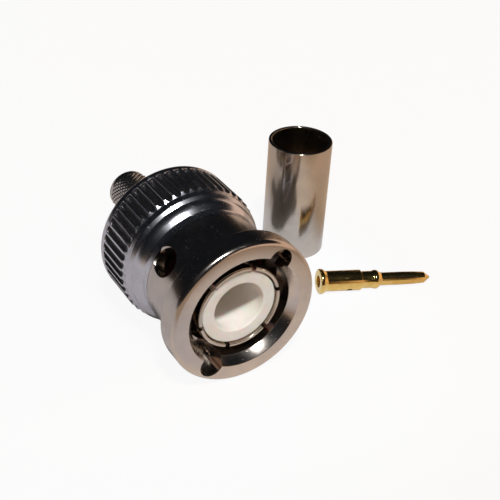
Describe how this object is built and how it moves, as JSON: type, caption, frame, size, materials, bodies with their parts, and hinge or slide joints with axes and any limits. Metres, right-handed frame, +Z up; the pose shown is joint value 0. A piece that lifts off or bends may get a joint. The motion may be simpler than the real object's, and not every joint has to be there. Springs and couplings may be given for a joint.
{
  "type": "bayonet coaxial cable plug with crimp ferrule and centre pin",
  "caption": "Crimp-type bayonet coaxial plug for RF cable, with its loose crimp ferrule and gold-plated centre pin lying beside it.",
  "frame": {"origin": "on the plug's axis, in the plane of the coupling nut's front face", "axes": "+Y runs along the plug's axis from the mating face to the cable end, +Z is up from the surface that the pieces lie on, +X is towards the loose pieces"},
  "size_m": [0.0325, 0.0245, 0.0144],
  "materials": {
    "nickel_plate": "bright nickel plating on brass, scuffed and finely scratched",
    "spring_steel": "bare spring steel",
    "silicone": "matt red silicone",
    "insulation": "waxy white fluoropolymer",
    "gold_plate": "polished gold plating on brass"
  },
  "bodies": {
    "plug": {"plug_body": "nickel_plate", "outer_contact": "nickel_plate", "insulator": "insulation", "gasket": "silicone", "wave_washer_front": "spring_steel", "wave_washer_rear": "spring_steel", "center_pin": "gold_plate", "crimp_ferrule": "nickel_plate"},
    "carrier": {"thrust_washer": "spring_steel"},
    "nut": {"coupling_nut": "nickel_plate", "retaining_ring": "spring_steel"}
  },
  "joints": [
    {"name": "coupling_travel", "type": "slide", "parent": "plug", "child": "carrier", "axis": [0, -1, 0], "range_m": [0, 0.0006], "stiffness_N_per_m": 300, "springref_m": -0.001, "deforming": ["wave_washer_front", "wave_washer_rear"]},
    {"name": "coupling_turn", "type": "hinge", "parent": "carrier", "child": "nut", "pos_m": [0, 0, 0], "axis": [0, 1, 0], "continuous": true}
  ]
}
